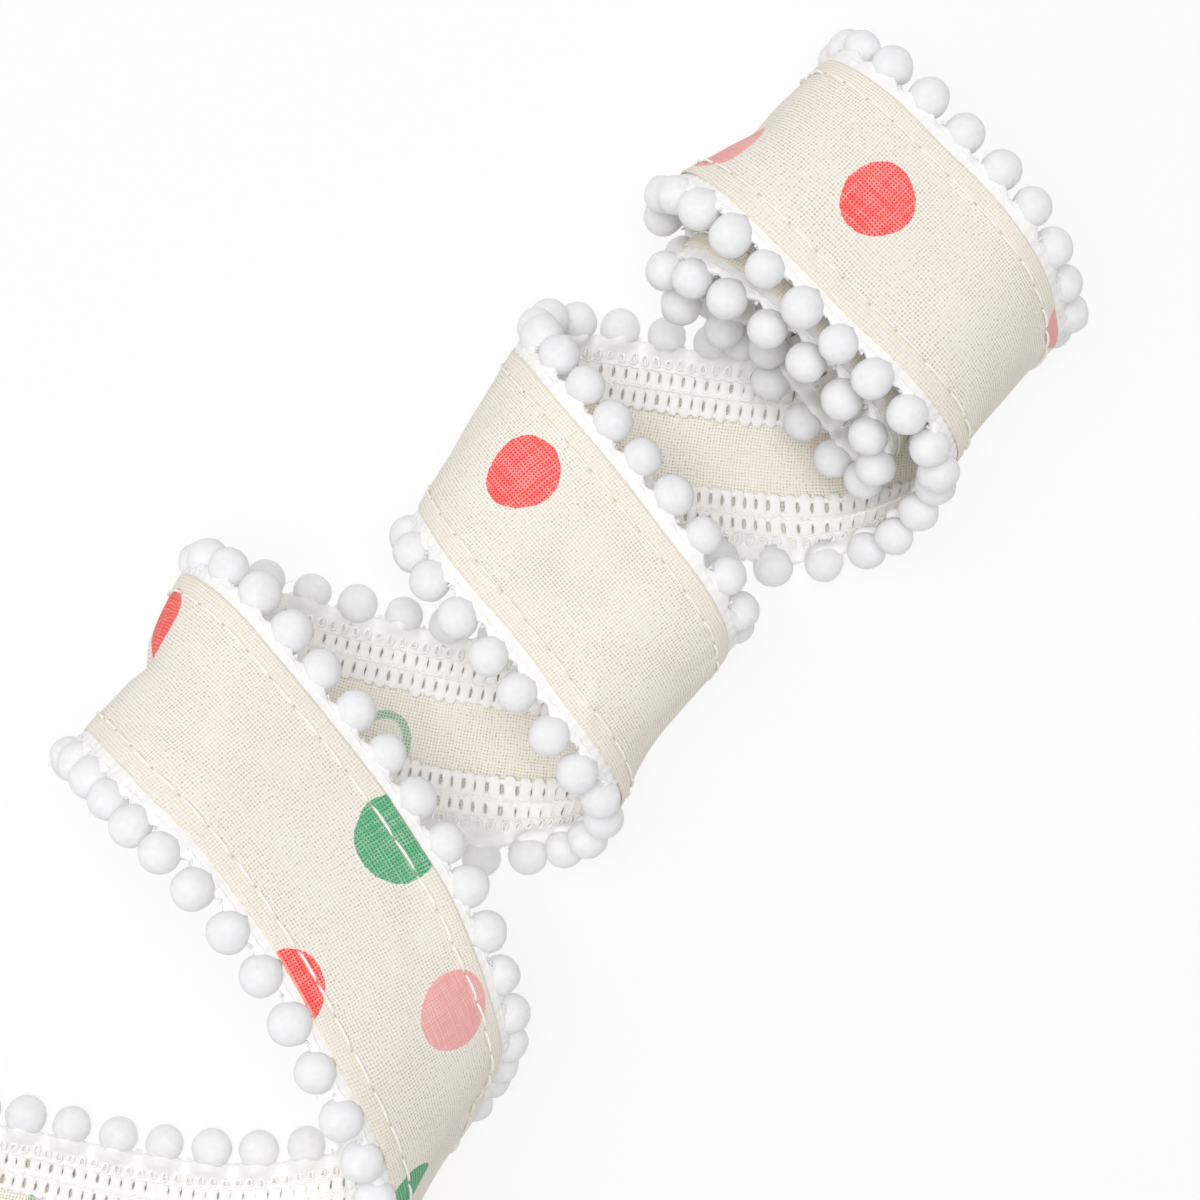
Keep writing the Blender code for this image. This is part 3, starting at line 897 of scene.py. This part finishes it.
@dataclass
class PompomTape:
    """A knitted tape with pompoms: root strip, knitted columns, chains, loops and pompoms.

    t is the distance outward from the cloth's edge. slots are the middles and half widths of the
    gaps that pinch the columns, bands the flat threads below them (inner t, outer t, height),
    chains the strands above them (t, sway, radius) and neck a pompom's root (reach, two radii).
    """

    path: RibbonPath
    edge: Edge
    pitch: float = 6.35
    columns_each: int = 4
    selvedge: float = -7.1
    column_top: float = -1.2
    column_width: float = 0.80
    column_depth: float = 0.34
    column_rise: float = 0.36
    slots: tuple = ((-5.40, 0.44), (-2.60, 0.36))
    bands: tuple = ((-6.8, -6.0, 0.50), (-4.85, -3.15, 0.56), (-2.05, -1.0, 0.60))
    chains: tuple = ((-3.9, 0.24, 0.17), (-3.9, -0.24, 0.17), (-1.55, 0.12, 0.18))
    strip_in: float = -1.5
    strip_out: float = 1.8
    strip_swell: float = 1.35
    strip_thick: float = 0.38
    strip_rise: float = 0.26
    collar_inner: float = 2.7
    collar_outer: float = 0.35
    rib: float = 0.16
    picot_length: float = 0.62
    picot_width: float = 0.40
    picot_rise: float = 0.92
    picot_thick: float = 0.20
    chain_rise: float = 0.66
    pompom_out: float = 3.75
    pompom_rise: float = 0.80
    pompom_radius: float = 2.62
    neck: tuple = (-2.85, 0.60, 0.95)
    first: float = 3.0
    hairs_each: int = 6

    def __post_init__(self) -> None:
        """Set the side, the random numbers and the pompoms' places along the edge."""
        self.side, self.node, self.slot, self.seed, drift = self.edge.value
        self.drift = np.array(drift)
        self.rng = np.random.default_rng(self.seed)
        self.pompoms_u = self._pompom_places()
        self.columns_u = self._column_places()

    def across(self, t: Array) -> Array:
        """v at t outward from the edge."""
        return self.side * (self.path.half + t)

    def at(self, u: Array, t: Array, w: Array) -> Array:
        """Points at u along, t outward from the edge and w inward."""
        return self.path.place(u, self.across(t), w)

    def lift(self, u: Array, t: Array) -> Array:
        """Unit vectors through the ribbon at (u, t)."""
        return self.path.inward(u, self.across(t))

    def _pompom_places(self) -> Array:
        """u of each pompom: even along the line through their middles, but for its drift."""
        u = np.arange(0.0, self.path.length, 0.25)
        u = u[self.path.usable(u, self.across(self.pompom_out), 0.2)]
        line = self.at(u, self.pompom_out, self.pompom_rise)
        gone = travelled(line)
        count = int((gone[-1] - 2.0 * self.first) / self.pitch)
        place = self.first + self.pitch * np.arange(count + 1)
        drift = np.interp(np.interp(place, gone, u), self.drift[:, 0], self.drift[:, 1])
        return np.interp(place + self.pitch * drift, gone, u)

    def _column_places(self) -> Array:
        """u of each knitted column: an equal number between neighbouring pompoms."""
        index = np.arange(-2 * self.columns_each, (len(self.pompoms_u) + 2) * self.columns_each)
        place = (index + 0.5) / self.columns_each
        last = len(self.pompoms_u) - 1
        u = np.interp(place, np.arange(last + 1), self.pompoms_u)
        u = u + (np.minimum(place, 0.0) + np.maximum(place - last, 0.0)) * self.pitch
        return u[self.path.usable(u, self.across(self.selvedge), 1.0)
                 & self.path.usable(u, self.across(self.strip_out), 1.0)]

    def _along_columns(self, index: Array) -> Array:
        """u at a count of columns, which may lie between columns or a little past the ends."""
        last = len(self.columns_u) - 1
        u = np.interp(index, np.arange(last + 1), self.columns_u)
        beyond = np.minimum(index, 0.0) + np.maximum(index - last, 0.0)
        return u + beyond * self.pitch / self.columns_each

    def _jitter(self, count: int, kinds: int, axes: int = 1) -> Array:
        """Normal random amounts of each kind for each thing, to be spread over more axes."""
        drawn = self.rng.normal(0.0, 1.0, (count, kinds))
        return drawn.T.reshape(kinds, count, *([1] * axes))

    def _strands(self, u: Array, t: Array, w: Array, thick: Array, sides: int = 5,
                 closed: bool = False) -> Shell:
        """Round strands along lines of the tape."""
        return tubes(self.at(u, t, w), self.lift(u, t), thick, thick, sides, closed)

    def _keep(self, name: str, shell: Shell, finish: bpy.types.Material) -> bpy.types.Object:
        """Make one piece of the tape and fit it to the frame."""
        piece = mesh_object(f"{name}_{self.edge.name.lower()}", shell)
        piece.data.materials.append(finish)
        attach(piece, "root")
        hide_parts(self.node)
        return piece

    def strip(self) -> Shell:
        """Brushed root strip: a flat rounded bar, ribbed outside and swelling at each pompom."""
        index = np.arange(-0.5, len(self.columns_u) - 0.45, 0.25)[:, None]
        u = self._along_columns(index)
        angle = np.linspace(0.0, TURN, 16, endpoint=False)
        phase = np.interp(u, self.pompoms_u, np.arange(len(self.pompoms_u)))
        swell = 0.5 + 0.5 * np.cos(TURN * phase)
        outer = self.strip_out + self.strip_swell * swell ** 0.8
        outer = outer + 0.06 * ripple(u, 0.0 * u, 2.5, self.seed)
        t = (0.5 * (outer + self.strip_in)
             + 0.5 * (outer - self.strip_in) * fuller(np.cos(angle), 0.7))
        rise = fuller(np.sin(angle), 0.6)
        collar = swell ** 0.7 * np.clip(t / 1.3, 0.0, 1.0)
        thick = self.strip_thick + np.where(rise > 0.0, self.collar_inner,
                                            self.collar_outer) * collar
        ribs = self.rib * np.abs(np.cos(np.pi * (index - 0.5))) ** 8 * (t < self.strip_out)
        w = self.strip_rise + thick * rise + np.where(rise < 0.0, ribs, 0.0)
        w = w + 0.015 * ripple(u, t, 1.3, self.seed + 1)
        return swept(self.at(u, t, w)[:, ::-self.side])

    def knitted_columns(self) -> Shell:
        """Thick weft columns, pinched by the slots, each with a hooked foot."""
        share = np.linspace(0.0, 1.0, 15)
        shift, ahead, skew, phase = self._jitter(len(self.columns_u), 4)
        hook = np.clip(1.0 - share / 0.13, 0.0, 1.0)
        t = self.selvedge + 0.15 * shift + (self.column_top - self.selvedge) * share
        t = t + 0.25 * hook ** 2
        u = (self.columns_u[:, None] + 0.05 * ahead + 0.55 * hook ** 1.5
             + 0.10 * (share - 0.5) * skew)
        pinch = sum(np.exp(-((t - middle) / half) ** 4) for middle, half in self.slots)
        spacing = (np.gradient(self.columns_u) * self.columns_each / self.pitch)[:, None]
        lumps = 0.5 + 0.5 * np.cos(TURN * (4.0 * share + 0.10 * phase))
        foot = 1.0 - np.clip(share / 0.09, 0.0, 1.0)
        taper = 1.0 - 0.25 * np.clip((share - 0.9) / 0.1, 0.0, 1.0)
        taper = taper * (0.5 + 0.5 * np.sqrt(1.0 - foot ** 2))
        width = self.column_width * spacing * (1.0 - 0.12 * hook) * taper - 0.15 * pinch
        depth = self.column_depth * (0.90 + 0.10 * lumps) * (1.0 - 0.18 * pinch) * taper
        w = self.column_rise + 0.04 * lumps + 0.02 * shift
        return tubes(self.at(u, t, w), self.lift(u, t), width, depth, 8, square=0.85)

    def backing(self, inner_t: float, outer_t: float, high: float) -> Shell:
        """Flat lengthwise band of thread under the columns."""
        index = np.arange(-0.4, len(self.columns_u) - 0.55, 0.5)[:, None]
        u = self._along_columns(index)
        t = inner_t + (outer_t - inner_t) * np.array([0.0, 0.25, 0.75, 1.0])
        top = high * np.array([0.6, 1.0, 1.0, 0.6])
        rings = np.concatenate([self.at(u, t, 0.04), self.at(u, t, top)[:, ::-1]], axis=1)
        return swept(rings[:, ::self.side])

    def picots(self) -> Shell:
        """Small teardrop loops that lie over the root strip, one above each column."""
        turn = np.linspace(0.0, TURN, 10, endpoint=False)
        longer, outward, skew = self._jitter(len(self.columns_u), 3)
        t = -0.55 + (self.picot_length + 0.08 * longer) * np.cos(turn) + 0.10 * outward
        u = (self.columns_u[:, None] + 0.08 * skew * (t + 1.0)
             + self.picot_width * np.sin(turn) * (1.0 - 0.30 * np.cos(turn)))
        w = self.picot_rise + 0.05 * np.cos(turn)
        return self._strands(u, t, w, self.picot_thick, closed=True)

    def chain(self, t_middle: float, sway: float, thick: float) -> Shell:
        """Lengthwise strand that climbs over each column and dips between columns."""
        index = np.arange(0.0, len(self.columns_u) - 1.0, 0.25)[None, :]
        t = t_middle + sway * np.sin(TURN * index)
        w = self.chain_rise + 0.07 * np.cos(TURN * index)
        return self._strands(self._along_columns(index), t, w, thick)

    def threads(self) -> Shell:
        """All chains, the picots and the bands under the columns."""
        first, *others = [self.chain(*chain) for chain in self.chains]
        return first.joined(*others, self.picots(), *[self.backing(*band) for band in self.bands])

    def edge_thread(self) -> Shell:
        """Thin bright thread along the outside of the root strip."""
        index = np.arange(0.0, len(self.columns_u) - 1.0, 0.25)[None, :]
        u = self._along_columns(index)
        t = 1.05 + 0.16 * np.abs(np.sin(np.pi * index)) + 0.10 * ripple(u, 0.0 * u, 9.0, 8)
        return self._strands(u, t, -0.14, 0.12)

    def pompom_frames(self) -> tuple[Array, Array, Array, Array]:
        """Middles and axes (outward, through, along) of the pompoms."""
        u = self.pompoms_u
        out = self.pompom_out + np.interp(u, self.drift[:, 0], self.drift[:, 2])
        through = self.lift(u, 1.0)
        upright = np.maximum(through[:, 2], 0.0)
        middle = self.at(u, out, self.pompom_rise - 0.45 * upright)
        root = self.at(u, 0.6, 0.6)
        middle[:, 2] = np.maximum(middle[:, 2], self.pompom_radius)
        outward = unit(middle - root)
        along = unit(np.cross(outward, through))
        return middle, outward, np.cross(along, outward), along

    def pompoms(self) -> Shell:
        """Soft egg-shaped balls on broad necks: a round profile turned about each outward axis."""
        middle, *axes = self.pompom_frames()
        ball = np.linspace(0.86 * np.pi, 0.06 * np.pi, 12)
        profile = self.pompom_radius * np.stack([np.cos(ball), np.sin(ball), np.sin(ball)])
        x, thick, wide = np.column_stack([self.neck, profile])[:, None, :, None]
        angle = np.linspace(0.0, TURN, 18, endpoint=False)
        size, swirl, lean, tall, bump = self._jitter(len(middle), 5, 2)
        grow = 1.0 + 0.022 * size
        far = np.clip((x + 2.9) / 1.6, 0.0, 1.0)
        lump = (0.045 * np.sin(1.3 * x + 2.0 * swirl) * np.cos(2.0 * angle + 3.0 * lean)
                + 0.022 * np.cos(1.9 * x + 5.0 * bump) * np.cos(3.0 * angle + 5.0 * tall))
        y = thick * np.cos(angle) * (grow + lump * far) + 0.10 * bump * far
        z = wide * np.sin(angle) * (grow + 0.6 * lump * far) + 0.12 * lean * far
        x = x * grow * (1.0 + 0.03 * tall) + 0.0 * angle
        points = middle[:, None, None] + sum(amount[..., None] * axis[:, None, None]
                                             for amount, axis in zip((x, y, z), axes))
        points[..., 2] = np.maximum(points[..., 2], 0.03)
        return capped(points, points[:, 0].mean(1), points[:, -1].mean(1) + axes[0] * 0.04)

    def knots(self) -> Shell:
        """Little curls of yarn in the dips between neighbouring pompoms."""
        between = 0.5 * (self.pompoms_u[1:] + self.pompoms_u[:-1])[:, None]
        more, start, bigger, ahead, outward = self._jitter(len(between), 5)
        share = np.linspace(0.0, 1.0, 9)
        turn = TURN * (share * (0.9 + 0.25 * more) + 0.3 * start)
        curl = 0.20 + 0.05 * bigger
        u = between + 0.35 * ahead + curl * np.cos(turn) + 0.3 * (share - 0.5)
        t = self.strip_out + 0.15 + 0.15 * outward + curl * np.sin(turn)
        return self._strands(u, t, 0.05 + 0.30 * share, 0.22 * (1.0 - 0.6 * share))

    def loose_fibres(self) -> Shell:
        """Fine stray hairs on the pompoms: short curved tubes leaning off the surface."""
        middle, *axes = self.pompom_frames()
        index = np.repeat(np.arange(len(middle)), self.hairs_each)
        count = len(index)
        polar = np.arccos(self.rng.uniform(-0.4, 1.0, count))
        around = self.rng.uniform(0.0, TURN, count)
        parts = (np.cos(polar), np.sin(polar) * np.cos(around), np.sin(polar) * np.sin(around))
        face = sum(axis[index] * part[:, None] for axis, part in zip(axes, parts))
        lean = unit(np.cross(face, self.rng.normal(0.0, 1.0, (count, 3))))
        share = np.linspace(0.0, 1.0, 4)[None, :, None]
        long = self.rng.uniform(0.3, 0.9, count)[:, None, None]
        start = middle[index] + face * (self.pompom_radius - 0.08)
        path = (start[:, None] + face[:, None] * share * long * 0.6
                + lean[:, None] * share ** 1.5 * long)
        path[..., 2] = np.maximum(path[..., 2], 0.05)
        lifts = np.cross(np.broadcast_to(face[:, None] + 0.3 * lean[:, None], path.shape),
                         lean[:, None])
        return tubes(path, lifts, 0.022, 0.022, 3)

    def flyaways(self) -> Shell:
        """A few longer hairs that have worked loose: arcs that start at the root strip."""
        count = len(self.pompoms_u) // 5
        rng = np.random.default_rng(self.seed + 50)
        start = rng.choice(self.pompoms_u, count, replace=False)[:, None] + 1.6
        share = np.linspace(0.0, 1.0, 12)
        run, out, high = rng.uniform(-1.0, 1.0, (3, count, 1))
        u = start + (1.5 + 2.0 * run) * share + 0.7 * out * np.sin(3.0 * share)
        t = 1.2 + (2.8 + 1.2 * out) * np.sin(np.pi * 0.75 * share)
        w = 1.6 + (1.0 + 0.8 * high) * np.sin(np.pi * share)
        return self._strands(u, t, w, 0.04, 4)

    def build(self) -> list:
        """Make every piece of the tape."""
        edge = self.edge.name.lower()
        yarn = YARN.material(f"knitted_yarn_{edge}")
        fluffy = FLUFF.material(f"pompom_cotton_{edge}")
        brushed = BRUSHED.material(f"brushed_cotton_{edge}")
        return [self._keep("root_strip", self.strip().joined(self.edge_thread()), brushed),
                self._keep("knitted_columns", self.knitted_columns(), yarn),
                self._keep("chains_and_picots", self.threads(), yarn),
                self._keep("pompoms", self.pompoms(), fluffy),
                self._keep("stray_yarn", self.knots().joined(self.loose_fibres(),
                                                             self.flyaways()), fluffy)]


@dataclass
class Seam:
    """The machine seam along one edge: one thread arc for each stitch, sunk at its ends."""

    path: RibbonPath
    side: int
    inside: float = 2.5
    stitch: float = 4.7
    cover: float = 0.86
    thread: float = 0.19
    sunk: float = -0.38
    bulge: float = 0.26

    def build(self) -> bpy.types.Object:
        """Make the seam's thread."""
        rng = np.random.default_rng(31 + self.side)
        starts = np.arange(3.0, self.path.length - 6.0, self.stitch)
        starts = starts[self.path.usable(starts, self.side * self.path.half, 6.0)][:, None]
        jitter = rng.normal(0.0, 1.0, (len(starts), 3))
        share = np.linspace(0.0, 1.0, 9)
        arc = np.sin(np.pi * share) ** 0.5
        u = starts + 0.1 * jitter[:, :1] + self.stitch * self.cover * share
        wander = 0.06 * ripple(starts, 0.0 * starts, 30.0, 9)
        v = self.side * (self.path.half - self.inside + wander
                         + 0.05 * jitter[:, 1:2] + 0.08 * jitter[:, 2:3] * (share - 0.5))
        points = self.path.place(u, v, self.sunk - self.bulge * arc)
        thick = self.thread * (0.55 + 0.45 * arc)
        seam = mesh_object("seam_thread_" + ("upper" if self.side > 0 else "lower"),
                           tubes(points, self.path.inward(u, v), thick, thick, 6))
        seam.data.materials.append(SEWING.material("seam_cotton_%d" % self.side))
        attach(seam, "root")
        return seam


@dataclass
class Studio:
    """Plain pale floor, soft white light all round and the camera straight above.

    lamps are the broad lights: name, place, width and power.
    """

    aim: tuple[float, float] = (0.02653, -0.00835)
    distance: float = 0.380
    frame_width: float = 0.16216
    roll: float = 57.0
    sensor: float = 36.0
    paper: float = 0.16
    paper_glow: float = 0.82
    surround: float = 0.40
    lamps: tuple = (("window", (0.107, 0.362, 0.90), 0.7, 1.9),
                    ("overhead", (0.04, 0.02, 0.9), 0.4, 3.6),
                    ("fill", (-0.58, 0.25, 0.42), 0.6, 0.5))

    def build(self) -> None:
        """Set up the floor, light and camera."""
        self._floor()
        self._light()
        self._camera()
        bpy.context.scene.view_settings.view_transform = "Standard"

    def _floor(self) -> None:
        """White paper floor that glows a little, so that shadows stay faint."""
        bpy.ops.mesh.primitive_plane_add(size=4.0, location=(0.0, 0.0, 0.0))
        floor = bpy.context.object
        floor.name = "paper_floor"
        sheet = NodeSheet("white_paper")
        sheet.feed(sheet.shader, {"Base Color": (self.paper,) * 3, "Roughness": 1.0,
                                  "Specular IOR Level": 0.0, "Emission Color": (1.0, 1.0, 1.0),
                                  "Emission Strength": self.paper_glow})
        floor.data.materials.append(sheet.material)

    def _light(self) -> None:
        """A white surround and three broad soft lights."""
        world = bpy.data.worlds.new("white_surround")
        world.use_nodes = True
        inputs = world.node_tree.nodes["Background"].inputs
        inputs["Color"].default_value = (1.0, 1.0, 1.0, 1.0)
        inputs["Strength"].default_value = self.surround
        bpy.context.scene.world = world
        for name, place, size, power in self.lamps:
            lamp = bpy.data.lights.new(name, "AREA")
            lamp.shape = "SQUARE"
            lamp.size = size
            lamp.energy = power
            thing = self._placed(lamp, place,
                                 self._towards(np.array([*self.aim, 0.0]) - np.array(place)))

    def _placed(self, data: bpy.types.ID, place: tuple, turn: tuple) -> bpy.types.Object:
        """Put a lamp or camera at its place."""
        thing = bpy.data.objects.new(data.name, data)
        thing.location = place
        thing.rotation_euler = turn
        bpy.context.scene.collection.objects.link(thing)
        return thing

    def _towards(self, direction: Array) -> tuple[float, float, float]:
        """Rotation that turns a lamp's -Z to the given direction."""
        x, y, z = direction
        return (float(np.arctan2(np.hypot(x, y), -z)), 0.0, float(np.arctan2(x, -y)) + np.pi)

    def _camera(self) -> None:
        """Camera looking straight down, rolled so that the coils run up to the right."""
        camera = bpy.data.cameras.new("camera")
        camera.sensor_width = self.sensor
        camera.lens = self.sensor * self.distance / self.frame_width
        camera.clip_start = 0.01
        bpy.context.scene.camera = self._placed(camera, (*self.aim, self.distance),
                                                (0.0, 0.0, -np.radians(self.roll)))


def main() -> None:
    """Build the trim and its studio."""
    logging.basicConfig(level=logging.INFO, format="%(message)s")
    path = RibbonPath(creases=CREASES)
    log.info("ribbon length %.1f mm", path.length)
    cloth = CottonRibbon(path).build()
    seams = [Seam(path, side).build() for side in (+1, -1)]
    tapes = [PompomTape(path, edge).build() for edge in Edge]
    Studio().build()


if __name__ == "__main__":
    main()
